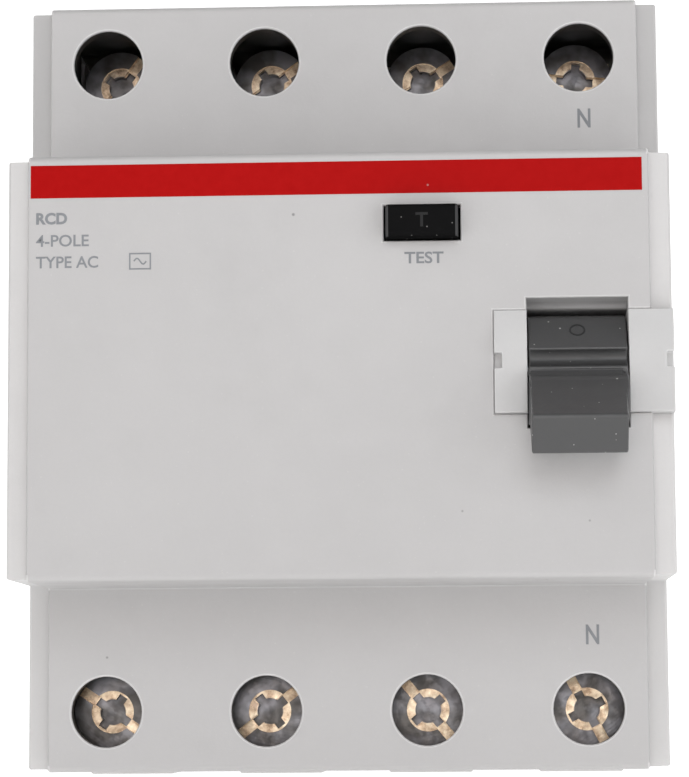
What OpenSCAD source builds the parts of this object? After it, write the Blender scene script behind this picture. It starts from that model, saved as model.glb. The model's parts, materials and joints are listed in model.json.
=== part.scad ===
// Four-pole residual current device for a 35 mm top-hat rail.
// Frame: X to the right, Y away from the user, Z up. The origin is the centre of the rail seat.

/* [Housing] */
// Width over the two side walls, four modules
device_w = 70; // [69.6:0.1:70.4]
// Height over the two ends, without the cable collars
device_h = 85; // [84.8:0.1:86]
// Height of the raised nose
nose_h = 45; // [44.8:0.1:45.4]
// Depth from the rail seat to the nose face
nose_depth = 60; // [59.8:0.1:60.6]
// Depth from the rail seat to the shoulder faces
shoulder_depth = 44; // [43.8:0.1:44.2]
// Depth of the lower housing ends behind the rail seat
heel_depth = 5.5; // [5.4:0.1:6]
// Width of the front cover
cover_w = 65.4; // [65.2:0.1:65.6]
// Wall thickness
wall = 2; // [1.9:0.1:2.1]
// Set-back of the side walls behind the front faces
side_setback = 1.6; // [1.4:0.1:1.8]
// Radius on the long front edges
edge_r = 0.7; // [0.4:0.1:0.9]

/* [Terminals] */
// Distance between poles
pole_pitch = 17.5; // [17.4:0.05:17.6]
// Height of the terminal screws above and below the rail centre
screw_z = 36; // [35.8:0.1:36.2]
// Diameter of the screwdriver holes
access_d = 7.7; // [7.5:0.1:7.9]
// Diameter of the terminal screw heads
head_d = 8.4; // [8.2:0.1:8.6]
// Diameter of the terminal screw shanks
shank_d = 5; // [4.9:0.1:5]
// Radial clearance of running fits
fit_gap = 0.05; // [0.02:0.01:0.08]

/* [Toggle] */
// Centre of the toggle from the device's centre line
toggle_x = 25.02; // [24.9:0.01:25.1]
// Width of the toggle opening
toggle_slot_w = 10.55; // [10.5:0.05:10.6]
// Radius of the toggle drum
drum_r = 5.75; // [5.6:0.05:5.8]
// Angle of the lever below straight ahead when switched off
toggle_off_angle = 33; // [31:0.5:34]
// Distance from the toggle axis to the lever's tip
lever_reach = 14.9; // [14:0.1:15.2]

/* [Test button] */
// Centre of the test button from the device's centre line
test_x = 8.92; // [8.8:0.01:9]
// Height of the test button's centre
test_z = 14.8; // [14.6:0.1:15]
// How far the button stands out of the nose face
test_proud = 2; // [1.9:0.1:2.2]

/* [Rail] */
// Height of the rail
rail_h = 35; // [35:0.1:35.2]
// Gap in front of the rail hooks, for the rail's flange
flange_gap = 1.3; // [1.2:0.05:1.4]
// Thickness of the hooks
hook_t = 3; // [2.8:0.1:3.1]

/* [Hidden] */
$fn = 48;
eps = 0.05;

// Colours
housing_grey = "#d6d5d3";
toggle_grey = "#4a4b4d";
button_black = "#1c1c1d";
steel = "#8f9194";
copper = "#b8734a";
brass = "#c8a85a";
carrier_grey = "#5c5f63";

// Housing
half_w = device_w / 2;
half_h = device_h / 2;
half_nose = nose_h / 2;
cover_half = cover_w / 2;
side_wall = half_w - cover_half;
cover_side = 1.5;
end_short = 0.3;
joint_y = -30;
rear_front = -2.3;
floor_front = -0.2;
inner_end = half_h - wall;
seat_half_h = 15.2;
channel_half = rail_h / 2 + 0.4;
seat_half_w = half_w - wall;
pole_x = [for (i = [0:3]) (i - 1.5) * pole_pitch];
clip_x = pole_pitch;

// Terminals
line_head = -32;
load_head = -38.5;
head_t = 2.8;
tongue_front = -20;
tongue_t = 1.6;
tongue_half_w = 3.2;
cage_half_w = 4.4;
cage_side = 0.8;
cage_lo = screw_z - 4;
cage_hi = screw_z + 4;
cage_front = -23;
cage_plate = 2.6;
cage_floor = -10.4;
cage_back = -8.8;
entry_half_w = 4;
entry_front = -18.6;
entry_back = -10.2;
collar_half_w = 4.9;
collar_proud = 0.7;
collar_rim = 1;
chamber_half_w = 5.2;

// Toggle and contact shaft
toggle_axis = [-nose_depth + 4.35, -0.5];
shaft_axis = [-23, 13];
contact_open_angle = 24;
toggle_crank = [-53.32, -4.23];
shaft_crank = [-24.95, -0.86];
link_x = 22.1;
link_pin_d = 1.6;
link_play = 1.1;
lever_root = [-5.55, -3.6];
ear_left = 16.3;
ear_step = cover_half - cover_side - 0.1;
slot_floor_z = -6.95;
toggle_half_w = toggle_slot_w / 2 - 0.15;
toggle_pin_d = 2.5;
spring_x = toggle_x + 1.2;
shaft_d = 7;

// Transformer and relay
toroid_centre = [-9, -23, -9.5];
toroid_r = 13;
toroid_hole_r = 7.5;
toroid_h = 11;
relay_x = 12.6;
plunger_y = -38;
relay_back = -29.5;
bracket_front = -48;
trip_axis = [-42, 3.5];
trip_pin_d = 2;

function arc(c, r, a0, a1, n) = [for (i = [0:n]) let (a = a0 + (a1 - a0) * i / n)
  c + r * [cos(a), sin(a)]];
function lerp(a, b, t) = a * (1 - t) + b * t;
// A cubic curve through four control points
function bezier(p, t) = let (a = lerp(p[0], p[1], t), b = lerp(p[1], p[2], t), c = lerp(p[2], p[3], t))
  lerp(lerp(a, b, t), lerp(b, c, t), t);
function unit(v) = v / norm(v);
function helix(r, h, turns, steps) = [for (i = [0:steps]) let (t = i / steps)
  [r * cos(360 * turns * t), r * sin(360 * turns * t), h * t]];

// A box between two corners
module block(lo, hi) {
  translate(lo) cube(hi - lo);
}

// A YZ outline extruded along X between two positions
module along_x(x0, x1) {
  translate([x0, 0, 0]) rotate([90, 0, 90]) linear_extrude(x1 - x0) children();
}

module rod_x(x0, x1, at, d) {
  translate([x0, at[0], at[1]]) rotate([0, 90, 0]) cylinder(h = x1 - x0, d = d);
}

module rod_y(at, y0, y1, d) {
  translate([at[0], y1, at[1]]) rotate([90, 0, 0]) cylinder(h = y1 - y0, d = d);
}

// A round tube swept along a list of points
module tube(points, r, sides) {
  count = len(points);
  rings = [for (i = [0:count - 1])
    let (ahead = points[min(i + 1, count - 1)], behind = points[max(i - 1, 0)])
    let (t = unit(ahead - behind))
    let (ref = abs(t.z) < 0.9 ? [0, 0, 1] : [1, 0, 0])
    let (u = unit(cross(ref, t)), v = cross(t, u))
    for (k = [0:sides - 1]) points[i] + r * (cos(360 * k / sides) * u + sin(360 * k / sides) * v)];
  bands = [for (i = [0:count - 2], k = [0:sides - 1], half = [0, 1])
    let (a = i * sides + k, b = i * sides + (k + 1) % sides)
    half == 0 ? [a, a + sides, b + sides] : [a, b + sides, b]];
  first = [[for (k = [0:sides - 1]) k]];
  last = [[for (k = [sides - 1:-1:0]) (count - 1) * sides + k]];
  polyhedron(rings, concat(first, bands, last));
}

// Both ends of the device: children are drawn as they are and mirrored downwards
module both_ends() {
  children();
  mirror([0, 0, 1]) children();
}

// ---------------------------------------------------------------- housing

module side_outline() {
  polygon([
    [heel_depth, channel_half], [heel_depth, half_h - end_short],
    [-shoulder_depth + side_setback, half_h - end_short],
    [-shoulder_depth + side_setback, half_nose - end_short],
    [-nose_depth + side_setback, half_nose - end_short],
    [-nose_depth + side_setback, -half_nose + end_short],
    [-shoulder_depth + side_setback, -half_nose + end_short],
    [-shoulder_depth + side_setback, -half_h + end_short],
    [heel_depth, -half_h + end_short], [heel_depth, -channel_half],
    [-0.3, -channel_half], [-0.3, channel_half]
  ]);
}

module rear_shell() {
  both_ends() {
    block([-half_w, rear_front, channel_half - eps], [half_w, heel_depth, channel_half + wall]);
    block([-half_w, heel_depth - wall, channel_half], [half_w, heel_depth, half_h]);
    block([-half_w, joint_y, inner_end], [half_w, heel_depth, half_h]);
  }
  block([-half_w, rear_front, -channel_half], [half_w, rear_front + wall, channel_half]);
  block([-seat_half_w, -1, -seat_half_h], [seat_half_w, 0, seat_half_h]);
}

module cable_collars() {
  for (x = pole_x)
    block([x - collar_half_w, entry_front - collar_rim, half_h - eps],
      [x + collar_half_w, entry_back + collar_rim, half_h + collar_proud]);
}

module cable_entries() {
  for (x = pole_x)
    block([x - entry_half_w, entry_front, inner_end - eps],
      [x + entry_half_w, entry_back, half_h + 2 * collar_proud]);
}

// Walls between the poles from an inner end outwards, and the walls that hold the terminal tongues
module terminal_walls(inner, rear) {
  for (x = [-pole_pitch, 0, pole_pitch])
    block([x - 0.8, joint_y + 1, inner], [x + 0.8, rear, inner_end]);
  difference() {
    block([-cover_half, -25.5, 30], [cover_half, rear, 31.2]);
    for (x = pole_x)
      block([x - tongue_half_w, tongue_front, 29], [x + tongue_half_w, tongue_front + tongue_t, 32]);
  }
  for (x = pole_x, side = [-1, 1]) {
    near = x + side * chamber_half_w;
    block([min(near, near + side), -25.5, 31], [max(near, near + side), rear, inner_end]);
  }
}

module fixed_hooks() {
  for (x = [-clip_x, clip_x]) {
    block([x - 7, flange_gap, rail_h / 2 - 2], [x + 7, flange_gap + hook_t, channel_half + wall]);
    block([x - 7, 0, channel_half - eps], [x + 7, heel_depth, channel_half + wall]);
  }
}

// The slot that a rail clip slides in, open to the rear, with grooves for its wings
module clip_slot(x) {
  block([x - 7, 1.1, -half_h - 1], [x + 7, heel_depth + 1, -channel_half + eps]);
  block([x - 8.5, 1.1, -half_h - 1], [x + 8.5, 3.1, -channel_half + eps]);
}

module clip_floor(x) {
  block([x - 9.7, floor_front, -half_h + eps], [x + 9.7, heel_depth, -channel_half]);
}

module clip_stop(x) {
  block([x - 1.5, 0.5, -40], [x + 1.5, 4.6, -38]);
}

// Bearing posts for the contact shaft
module shaft_bearings() {
  difference() {
    for (x = [-pole_pitch, 0, pole_pitch])
      block([x - 0.8, -28, 7], [x + 0.8, rear_front, 21 + eps]);
    rod_x(-half_w, half_w, shaft_axis, shaft_d + 2 * fit_gap);
  }
}

// Pillar behind the relay, with a bracket on each side that carries the trip lever's pin
module relay_pillar() {
  difference() {
    union() {
      block([relay_x - 6.2, relay_back, -17.5], [relay_x + 6.2, rear_front, -4]);
      for (side = [-1, 1]) {
        x = relay_x + side * 5.7;
        block([x - 0.5, bracket_front, -12], [x + 0.5, relay_back + 2, 6.5]);
      }
    }
    rod_x(relay_x - 8, relay_x + 8, trip_axis, trip_pin_d);
  }
}

// Support for the right half of the mechanism frame
module frame_support() {
  block([29.7, bracket_front, -5], [31, rear_front, 3]);
}

module transformer_seat() {
  difference() {
    block([toroid_centre.x - 12, -20, toroid_centre.z - toroid_h / 2 - 1.4],
      [toroid_centre.x + 12, rear_front, toroid_centre.z - toroid_h / 2]);
    translate([toroid_centre.x, toroid_centre.y, -40]) cylinder(h = 80, r = toroid_r - 3);
  }
}

// Screw posts: centre, split line depth, front end depth
cover_posts = [[0, 38, -30], [0, -38, -30], [-28.3, -12, -36], [28.3, -12, -36]];

module base_posts() {
  for (p = cover_posts)
    rod_y([p.x, p.y], p.z, -0.5, 5.4);
}

module screw_bores() {
  for (p = cover_posts) {
    rod_y([p.x, p.y], -58, heel_depth + 1, 3);
    rod_y([p.x, p.y], -2, heel_depth + 1, 5.6);
  }
}

module base_housing() {
  color(housing_grey) difference() {
    union() {
      for (x = [-half_w, half_w - side_wall])
        along_x(x, x + side_wall) side_outline();
      rear_shell();
      both_ends() cable_collars();
      fixed_hooks();
      for (x = [-clip_x, clip_x]) clip_floor(x);
      base_posts();
    }
    both_ends() cable_entries();
    for (x = [-clip_x, clip_x]) difference() {
      clip_slot(x);
      clip_stop(x);
    }
    screw_bores();
  }
}

// Partitions between the poles with the bearings and seats of the mechanism
module inner_walls() {
  color(housing_grey) difference() {
    union() {
      terminal_walls(21, heel_depth - wall);
      mirror([0, 0, 1]) terminal_walls(30.5, floor_front);
      shaft_bearings();
      relay_pillar();
      frame_support();
      transformer_seat();
      board_posts();
    }
    base_posts();
    screw_bores();
  }
}

// The cover's stepped outline with its long front edges rounded
module cover_outline() {
  r = edge_r;
  shoulder = -shoulder_depth;
  nose = -nose_depth;
  upper = concat(
    [[joint_y, half_h]],
    arc([shoulder + r, half_h - r], r, 90, 180, 5),
    [[shoulder, half_nose]],
    arc([nose + r, half_nose - r], r, 90, 180, 5)
  );
  lower = [for (i = [len(upper) - 1:-1:0]) [upper[i].x, -upper[i].y]];
  polygon(concat(upper, lower));
}

module cover_cavity() {
  polygon([
    [joint_y + 1, half_h - wall], [-shoulder_depth + wall, half_h - wall],
    [-shoulder_depth + wall, half_nose - wall], [-nose_depth + wall, half_nose - wall],
    [-nose_depth + wall, -half_nose + wall], [-shoulder_depth + wall, -half_nose + wall],
    [-shoulder_depth + wall, -half_h + wall], [joint_y + 1, -half_h + wall]
  ]);
}

module test_guides() {
  block([test_x - 3.5, -49.5, test_z - 3.5], [test_x + 3.5, -48, half_nose - wall + eps]);
  block([test_x - 1.7, -57, 17.6], [test_x + 1.7, -42, half_nose - wall + eps]);
  block([-8.5, -57, 17.8], [-6.5, -38.5, half_nose - wall + eps]);
}

// Walls above and below the toggle that close the view into the housing
module toggle_collar() {
  along_x(ear_left, ear_step)
    polygon([[-nose_depth + 0.4, 6.65], [-nose_depth + 4, 5.8], [-51, 5.8],
      [-51, 7.85], [-nose_depth + 0.4, 7.85]]);
  block([ear_left, -nose_depth + 1, slot_floor_z - 1.2], [ear_step, -51, slot_floor_z]);
}

module cover_openings() {
  both_ends() for (x = pole_x)
    rod_y([x, screw_z], -shoulder_depth - 1, -shoulder_depth + wall + 1, access_d);
  block([toggle_x - toggle_slot_w / 2, -nose_depth - 1, slot_floor_z],
    [toggle_x + toggle_slot_w / 2, -nose_depth + wall + 1, 6.65]);
  block([ear_left, -nose_depth - 1, -5.45],
    [ear_step, -nose_depth + wall + 1, 5.4]);
  block([ear_step - 1, -nose_depth - 1, -5.45],
    [half_w, -nose_depth + side_setback, 5.4]);
  block([test_x - 4.03, -nose_depth - 1, test_z - 1.87],
    [test_x + 4.03, -nose_depth + wall + 1, test_z + 1.87]);
  rod_y([test_x, test_z], -50, -47, 3 + 2 * fit_gap);
}

module front_cover() {
  color(housing_grey) difference() {
    union() {
      difference() {
        along_x(-cover_half, cover_half) cover_outline();
        along_x(-cover_half + cover_side, cover_half - cover_side) cover_cavity();
      }
      test_guides();
      toggle_collar();
      for (p = cover_posts)
        rod_y([p.x, p.y], (abs(p.y) > half_nose ? -shoulder_depth : -nose_depth) + 1, p.z, 5.4);
    }
    cover_openings();
    for (p = cover_posts)
      rod_y([p.x, p.y], p.z - 9, p.z + 1, 2.5);
  }
}

module cover_screws() {
  color(steel) for (p = cover_posts) difference() {
    union() {
      rod_y([p.x, p.y], p.z - 8, -2, 2.5);
      rod_y([p.x, p.y], -2, -0.2, 5.2);
    }
    for (turn = [0, 90])
      translate([p.x, 0, p.y]) rotate([0, turn, 0]) block([-1.4, -1.3, -0.35], [1.4, 1, 0.35]);
  }
}

module ear_outline() {
  front = -nose_depth - 0.8;
  polygon([[front, -5.45], [front, 2.2], [front + 0.7, 5.4], [-48, 5.4], [-48, -5.45]]);
}

module mechanism_frame() {
  slot_lo = toggle_x - toggle_slot_w / 2;
  slot_hi = toggle_x + toggle_slot_w / 2;
  color(housing_grey) difference() {
    union() {
      along_x(ear_left, slot_lo) ear_outline();
      along_x(slot_hi, ear_step) ear_outline();
      difference() {
        along_x(slot_hi, half_w) ear_outline();
        block([ear_step, -nose_depth + side_setback, -6], [half_w + 1, -40, 6]);
      }
      block([ear_left, -49.6, 1.5], [ear_step, -48, 5.4]);
    }
    rod_x(ear_left - 1, cover_half - cover_side, toggle_axis, toggle_pin_d);
    block([ear_left - 1, -nose_depth - 2, -0.75], [ear_left + 0.8, -nose_depth + 0.6, 0.85]);
    block([half_w - 0.8, -nose_depth - 2, -0.75], [half_w + 1, -nose_depth + 0.6, 0.85]);
  }
}

// ---------------------------------------------------------------- rail clips

module din_clip(x) {
  color(button_black) difference() {
    union() {
      block([x - 6.7, 1.4, -half_h + 0.2], [x + 6.7, 5.2, -channel_half - 0.3]);
      block([x - 8.2, 1.4, -half_h + 0.6], [x + 8.2, 2.8, -channel_half - 0.3]);
      along_x(x - 6.7, x + 6.7)
        polygon([[1.4, -18.5], [1.4, -16], [2.4, -15.5], [4.2, -15.5], [4.6, -16], [4.6, -18.5]]);
    }
    block([x - 2.2, 1, -40.4], [x + 2.2, 6, -28]);
    block([x - 2.4, 3.6, -half_h - 1], [x + 2.4, 4.6, -41]);
  }
}

module clip_spring(x) {
  color(steel) translate([x, 3.1, -37.7]) tube(helix(1.45, 9.4, 6, 72), 0.25, 6);
}

// ---------------------------------------------------------------- toggle

// The lever's outline seen along the toggle axis, with +x towards its tip
module lever_outline() {
  r = 0.5;
  tip = lever_reach;
  polygon(concat(
    [[0, 3.4], [4.2, 2.6]],
    arc([tip - r, 2.3 - r], r, 90, 0, 4),
    arc([tip - r, -2.2 + r], r, 0, -90, 4),
    [[0, -3.6]]
  ));
}

// Drum with a flat facet above the scoop, and the full-width root of the lever
module drum_outline() {
  facet = [16, 62];
  difference() {
    circle(r = drum_r);
    polygon([for (a = facet, r = [drum_r, drum_r + 2]) r * [-cos(a), sin(a)]], [[0, 1, 3, 2]]);
  }
  translate(lever_root) circle(r = 2.6);
}

module toggle() {
  x0 = toggle_x - toggle_half_w;
  x1 = toggle_x + toggle_half_w;
  color(toggle_grey) difference() {
    translate([0, toggle_axis.x, toggle_axis.y]) {
      along_x(x0, x1) drum_outline();
      along_x(x0 + 0.05, x1 - 0.45) rotate(180 + toggle_off_angle) mirror([0, 1]) lever_outline();
    }
    rod_x(x0 - 1, x1 + 1, toggle_axis + [-5.95, 0.75], 2);
    rod_x(x0 - 1, x1 + 1, toggle_axis, toggle_pin_d + 2 * fit_gap);
    along_x(link_x - 1.1, link_x + 1.1) {
      translate(toggle_crank) circle(r = 1.75);
      translate(toggle_axis) polygon([[0.6, -7], [0.6, -3.4], [1.7, -1.6], [1.7, 7], [8, 7], [8, -7]]);
    }
    rod_x(x0 - 1, link_x + 3, toggle_crank, link_pin_d);
    rod_x(spring_x, spring_x + 2.4, toggle_axis, 4.3);
  }
}

module toggle_pin() {
  color(steel) rod_x(ear_left + 0.4, cover_half - cover_side - 0.2, toggle_axis, toggle_pin_d);
}

// Torsion spring round the toggle pin, in the slot in the drum's rear
module toggle_spring() {
  color(steel) translate([spring_x + 0.35, toggle_axis.x, toggle_axis.y]) rotate([0, 90, 0])
    tube(helix(1.6, 1.7, 3, 60), 0.22, 6);
}

module toggle_link_pin() {
  color(steel) rod_x(toggle_x - toggle_half_w + 0.1, link_x + 2.8, toggle_crank, link_pin_d);
}

module drive_link() {
  rise = shaft_crank - toggle_crank;
  color(steel) difference() {
    along_x(link_x - 0.7, link_x + 0.7) union() {
      translate(toggle_crank) circle(d = 2.9);
      translate(shaft_crank) circle(d = 4.8);
      translate(toggle_crank) rotate(atan2(rise.y, rise.x)) translate([0, -0.8]) square([norm(rise), 1.6]);
    }
    rod_x(link_x - 2, link_x + 2, toggle_crank, link_pin_d + 2 * fit_gap);
    rod_x(link_x - 2, link_x + 2, shaft_crank, link_pin_d + link_play);
  }
}

// ---------------------------------------------------------------- contacts

// Turns children, drawn with the contacts closed, to the open position about the shaft
module opened() {
  translate([0, shaft_axis.x, shaft_axis.y]) rotate([contact_open_angle, 0, 0])
    translate([0, -shaft_axis.x, -shaft_axis.y]) children();
}

module crank_outline() {
  translate(shaft_axis) circle(d = 6.4);
  translate(shaft_crank) circle(d = 3.6);
  reach = shaft_crank - shaft_axis;
  translate(shaft_axis) rotate(atan2(reach.y, reach.x)) translate([0, -1.8]) square([norm(reach), 3.6]);
}

module contact_shaft() {
  color(carrier_grey) difference() {
    union() {
      rod_x(-half_w + side_wall + 0.4, half_w - side_wall - 0.4, shaft_axis, shaft_d);
      for (x = pole_x) opened() {
        block([x - 3, -28.2, 10.4], [x + 3, -19.6, 15.6]);
        block([x - 3, -28.2, 15], [x + 3, -27.2, 21.5]);
      }
      for (side = [-1, 1])
        along_x(link_x + side * 1.65 - 0.65, link_x + side * 1.65 + 0.65) crank_outline();
    }
    for (x = pole_x) opened() block([x - 2, -22.9, 5], [x + 2, -21.4, 30]);
    rod_x(link_x - 4, link_x + 4, shaft_crank, link_pin_d);
  }
}

module shaft_link_pin() {
  color(steel) rod_x(link_x - 2.3, link_x + 2.3, shaft_crank, link_pin_d);
}

module moving_contact(x) {
  opened() {
    color(copper) block([x - 2, -22.9, 8.2], [x + 2, -21.4, 28.2]);
    color("silver") rod_y([x, 26.4], -21.4 - eps, -20.8, 3);
  }
}

module contact_springs() {
  color(steel) for (x = pole_x) opened()
    translate([x, -23.15, 19.6]) rotate([90, 0, 0]) tube(helix(1.2, 3.8, 5, 50), 0.2, 6);
}

module line_busbar(x) {
  color(copper) block([x - tongue_half_w, tongue_front, 24.4],
    [x + tongue_half_w, tongue_front + tongue_t, 40.3]);
  color("silver") rod_y([x, 26.4], tongue_front - 0.5, tongue_front + eps, 3.4);
}

module load_busbar(x) {
  color(copper) {
    block([x - tongue_half_w, tongue_front, -40.3], [x + tongue_half_w, tongue_front + tongue_t, -26]);
    block([x - 1.6, tongue_front, -26.5], [x + 1.6, tongue_front + tongue_t, -22.5]);
  }
}

lead_r = 1.25;
bundle = [[-2.6, -2.6], [-2.6, 2.6], [2.6, -2.6], [2.6, 2.6]];
bundle_order = [1, 0, 3, 2];

// Insulated lead from the moving contact, down through the transformer, to the load busbar
module flexible_lead(i) {
  spot = [toroid_centre.x, toroid_centre.y] + bundle[bundle_order[i]];
  top = [spot.x, spot.y, toroid_centre.z + 9];
  bottom = [spot.x, spot.y, toroid_centre.z - 9];
  start = [pole_x[i], -18.2, 7.4];
  finish = [pole_x[i], tongue_front - lead_r, -23.6];
  down = [for (k = [0:10]) bezier([start, start + [0, 2.5, -3.5], top + [0, 0, 6], top], k / 10)];
  through = [for (k = [1:3]) lerp(top, bottom, k / 4)];
  out = [for (k = [0:10]) bezier([bottom, bottom - [0, 0, 6], finish + [0, 0, 5], finish], k / 10)];
  color(i == 3 ? "steelblue" : "dimgray") tube(concat(down, through, out), lead_r, 10);
}

// ---------------------------------------------------------------- terminals

// Screw with a combined slot and cross recess; turn sets how its slot lies
module terminal_screw(x, head_front, turn) {
  depth = 1.6;
  color(steel) translate([x, 0, screw_z]) difference() {
    union() {
      rod_y([0, 0], head_front, head_front + head_t, head_d);
      rod_y([0, 0], head_front + head_t - eps, tongue_front - 0.15, shank_d);
    }
    rotate([0, turn, 0]) {
      block([-head_d, head_front - 1, -0.58], [head_d, head_front + 0.9, 0.58]);
      block([-0.5, head_front - 1, -2.1], [0.5, head_front + depth, 2.1]);
      block([-2.1, head_front - 1, -0.5], [2.1, head_front + depth, 0.5]);
    }
    rod_y([0, 0], head_front - 1, head_front + depth, 2.8);
    rod_y([0, 0], head_front - 1, head_front + 0.3, 4.7);
  }
}

module terminal_cage(x) {
  color(brass) difference() {
    block([x - cage_half_w, cage_front, cage_lo], [x + cage_half_w, cage_back, cage_hi]);
    block([x - cage_half_w + cage_side, cage_front + cage_plate, cage_lo - 1],
      [x + cage_half_w - cage_side, cage_floor, cage_hi + 1]);
    rod_y([x, screw_z], cage_front - 1, cage_front + cage_plate + 1, shank_d + 2 * fit_gap);
  }
}

line_turns = [-54, -35, -33, 5];
load_turns = [-35, 38, -50, -62];

// ---------------------------------------------------------------- transformer, relay and test circuit

module ring(r_in, r_out, h) {
  difference() {
    cylinder(h = h, r = r_out);
    translate([0, 0, -1]) cylinder(h = h + 2, r = r_in);
  }
}

module toroid_core() {
  color("#3f6a52") translate(toroid_centre - [0, 0, toroid_h / 2 - 1])
    ring(toroid_hole_r, toroid_r - 1, toroid_h - 2);
}

// Wire wound round three quarters of the core
module secondary_winding() {
  inner = toroid_hole_r - 0.8;
  color("#a8552c") translate(toroid_centre) rotate([0, 0, 135]) rotate_extrude(angle = 270) difference() {
    translate([inner, -toroid_h / 2]) square([toroid_r - inner, toroid_h]);
    translate([toroid_hole_r, -toroid_h / 2 + 1]) square([toroid_r - 1 - toroid_hole_r, toroid_h - 2]);
  }
}

module matching_board() {
  color("#2f6b3c") block([-20, -8, -30], [6, -6.8, -19]);
  color("#c9a24a") block([-18, -12.5, -28.5], [-10, -8 + eps, -22]);
  color("#7a3b1e") for (x = [-6, -1]) {
    translate([x, -9.6, -28]) cylinder(h = 7, d = 2.4);
    rod_y([x, -27.6], -9.6, -7.9, 0.8);
    rod_y([x, -21.4], -9.6, -7.9, 0.8);
  }
}

module board_posts() {
  for (x = [-18.5, 4.5]) block([x - 1.5, -6.8, -30 - eps], [x + 1.5, floor_front, -28]);
}

module trip_relay() {
  color("#d9d6c8") difference() {
    block([relay_x - 4.9, bracket_front + 1, -18.3], [relay_x + 4.9, relay_back, -3]);
    translate([relay_x, plunger_y, -8]) cylinder(h = 8, d = 2 + 2 * fit_gap);
  }
}

module relay_plunger() {
  color("dimgray") translate([relay_x, plunger_y, -7.5]) cylinder(h = 8.2, d = 2);
}

module trip_lever() {
  lo = relay_x - 4;
  hi = relay_x + 4;
  color(carrier_grey) difference() {
    union() {
      rod_x(lo, hi, trip_axis, 4.2);
      block([lo + 1, trip_axis.x, 1.4], [hi - 1, plunger_y + 3.5, 2.9]);
      block([lo + 2.5, trip_axis.x - 1.2, 4], [hi - 2.5, trip_axis.x + 0.4, 8.2]);
    }
    rod_x(lo - 1, hi + 1, trip_axis, trip_pin_d + 2 * fit_gap);
  }
}

module trip_lever_pin() {
  color(steel) rod_x(relay_x - 5.3, relay_x + 5.3, trip_axis, trip_pin_d);
}

module test_button() {
  front = -nose_depth - test_proud;
  color(button_black) {
    along_x(test_x - 3.8, test_x + 3.8) translate([0, test_z]) polygon(concat(
      arc([front + 0.5, 1.2], 0.5, 180, 90, 3), [[-57, 1.7], [-57, -1.7]],
      arc([front + 0.5, -1.2], 0.5, 270, 180, 3)));
    block([test_x - 4.7, -57.7, test_z - 2.4], [test_x + 4.7, -56.7, test_z + 2.4]);
    rod_y([test_x, test_z], -56.8, -44.4, 3);
  }
}

module test_button_spring() {
  color(steel) translate([test_x, -49.8, test_z]) rotate([90, 0, 0]) tube(helix(2, 6.6, 6, 72), 0.22, 6);
}

module test_contact() {
  color(brass) block([test_x - 1.5, -42, 11.5], [test_x + 1.5, -41.6, 20.3]);
}

module test_resistor() {
  color("#c2a27c") translate([-4, -40, 19]) rotate([0, 90, 0]) cylinder(h = 9, d = 2.6);
  color(steel) translate([-6.4, -40, 19]) rotate([0, 90, 0]) cylinder(h = 15.4, d = 0.7);
}

base_housing();
inner_walls();
front_cover();
mechanism_frame();
cover_screws();
din_clip(-clip_x);  // din_clip_left
din_clip(clip_x);  // din_clip_right
clip_spring(-clip_x);  // din_clip_spring_left
clip_spring(clip_x);  // din_clip_spring_right
toggle();
toggle_pin();
toggle_spring();
toggle_link_pin();
drive_link();
contact_shaft();
shaft_link_pin();
contact_springs();
for (i = [0:3]) {
  moving_contact(pole_x[i]);
  line_busbar(pole_x[i]);
  load_busbar(pole_x[i]);
  flexible_lead(i);
  terminal_screw(pole_x[i], line_head, line_turns[i]);
  mirror([0, 0, 1]) terminal_screw(pole_x[i], load_head, load_turns[i]);
  terminal_cage(pole_x[i]);
  mirror([0, 0, 1]) terminal_cage(pole_x[i]);
}
toroid_core();
secondary_winding();
matching_board();
trip_relay();
relay_plunger();
trip_lever();
trip_lever_pin();
test_button();
test_button_spring();
test_contact();
test_resistor();
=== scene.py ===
"""Residual current device: materials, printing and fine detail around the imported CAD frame."""
import json
import math

import bmesh
import bpy
from mathutils import Matrix, Vector


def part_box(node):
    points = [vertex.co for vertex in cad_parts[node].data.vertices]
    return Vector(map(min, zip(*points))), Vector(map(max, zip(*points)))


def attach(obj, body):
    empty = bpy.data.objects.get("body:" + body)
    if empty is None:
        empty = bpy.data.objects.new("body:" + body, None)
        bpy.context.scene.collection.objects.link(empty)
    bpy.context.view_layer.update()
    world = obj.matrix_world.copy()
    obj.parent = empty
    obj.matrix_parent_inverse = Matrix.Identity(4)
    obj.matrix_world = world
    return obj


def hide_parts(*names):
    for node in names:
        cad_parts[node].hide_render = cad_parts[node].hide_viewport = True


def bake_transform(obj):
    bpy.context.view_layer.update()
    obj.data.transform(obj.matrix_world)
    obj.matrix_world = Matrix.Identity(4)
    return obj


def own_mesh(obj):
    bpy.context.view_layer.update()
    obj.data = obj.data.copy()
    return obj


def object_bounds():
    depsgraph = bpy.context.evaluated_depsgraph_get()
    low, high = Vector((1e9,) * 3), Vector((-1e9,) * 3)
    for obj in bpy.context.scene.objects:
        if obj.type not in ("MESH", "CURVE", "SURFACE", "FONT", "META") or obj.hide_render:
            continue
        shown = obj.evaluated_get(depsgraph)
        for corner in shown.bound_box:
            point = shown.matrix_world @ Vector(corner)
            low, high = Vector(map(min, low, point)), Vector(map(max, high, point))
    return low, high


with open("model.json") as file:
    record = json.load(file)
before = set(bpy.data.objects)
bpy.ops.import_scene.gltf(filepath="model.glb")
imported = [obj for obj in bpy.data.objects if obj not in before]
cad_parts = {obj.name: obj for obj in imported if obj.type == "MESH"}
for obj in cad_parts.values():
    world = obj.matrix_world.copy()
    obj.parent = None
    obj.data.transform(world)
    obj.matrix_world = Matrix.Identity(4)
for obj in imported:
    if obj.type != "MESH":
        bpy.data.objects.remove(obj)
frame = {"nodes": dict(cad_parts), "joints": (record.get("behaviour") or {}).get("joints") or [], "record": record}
cad_lo, cad_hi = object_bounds()
nodes = frame["nodes"]
MM = 0.001

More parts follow.
